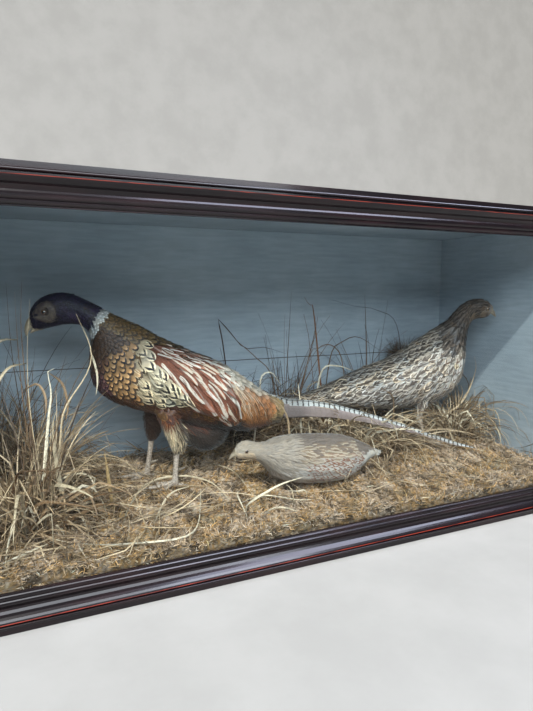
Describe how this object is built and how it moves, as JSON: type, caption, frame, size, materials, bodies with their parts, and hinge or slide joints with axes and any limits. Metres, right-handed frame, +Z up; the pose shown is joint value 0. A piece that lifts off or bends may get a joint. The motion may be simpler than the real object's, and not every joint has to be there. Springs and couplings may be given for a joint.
{
  "type": "taxidermy ring-necked pheasant in a glazed diorama case",
  "caption": "Still life-size mount of a cock ring-necked pheasant with a hen and a grey partridge on mossy ground in a glass-fronted wooden case.",
  "frame": {"origin": "centre of the case's underside, on the surface it stands on", "axes": "+X along the case's length to the viewer's right, +Y from the glass to the back, +Z up; the glass faces -Y and the cock faces -X"},
  "size_m": [1.12, 0.414, 0.541],
  "materials": {
    "case_wood": "dark stained and varnished, satin gloss",
    "moulding_wood": "very dark red-brown mahogany stain, glossy varnish, worn on the arrises",
    "carcass_pine": "bare planed softwood, aged",
    "lining_card": "pale blue-grey distemper, matt, dusty",
    "glass": "clear old sheet glass",
    "moss": "dried moss, golden brown to olive, matt",
    "straw": "dry grass, straw coloured, satin",
    "head_feather": "blue-green black plumage with purple sheen and a white collar",
    "body_feather": "copper and cream plumage scaled and spotted with black",
    "wing_feather": "chestnut plumage with cream streaks",
    "tail_feather": "pale grey-buff tail feathers barred with black",
    "thigh_feather": "short buff plumage, maroon above",
    "wattle": "bare facial skin, faded olive-brown, finely pimpled",
    "horn": "pale horn, satin",
    "scaly_leg": "grey-white scaled leg skin",
    "eye": "dark glass eye, glossy",
    "hen_feather": "buff plumage with dark brown feather centres",
    "partridge_feather": "fine grey-brown plumage, chestnut bars on the flank"
  },
  "bodies": {
    "root": {"case_base": "case_wood", "case_lid": "case_wood", "case_back": "carcass_pine", "case_end_left": "case_wood", "case_end_right": "case_wood", "lining_back": "lining_card", "lining_end_left": "lining_card", "lining_end_right": "lining_card", "lining_top": "lining_card", "frame_bottom": "moulding_wood", "frame_right": "moulding_wood", "frame_top": "moulding_wood", "frame_left": "moulding_wood", "glass_front": "glass", "tussock_left": "straw", "tussock_corner": "straw", "tussock_back": "straw", "tussock_right": "straw", "groundwork": "moss", "cock_head": "head_feather", "cock_eye_left": "eye", "cock_wattle_left": "wattle", "cock_eye_right": "eye", "cock_wattle_right": "wattle", "cock_bill_upper": "horn", "cock_bill_lower": "horn", "cock_neck": "head_feather", "cock_trunk": "body_feather", "cock_wing_left": "wing_feather", "cock_wing_right": "wing_feather", "cock_tail": "tail_feather", "cock_leg_left": "thigh_feather", "cock_claw_left_1": "horn", "cock_claw_left_2": "horn", "cock_claw_left_3": "horn", "cock_claw_left_4": "horn", "cock_shank_left": "scaly_leg", "cock_spur_left": "horn", "cock_leg_right": "thigh_feather", "cock_claw_right_1": "horn", "cock_claw_right_2": "horn", "cock_claw_right_3": "horn", "cock_claw_right_4": "horn", "cock_shank_right": "scaly_leg", "cock_spur_right": "horn", "hen_pheasant": "hen_feather", "partridge": "partridge_feather"}
  },
  "joints": []
}
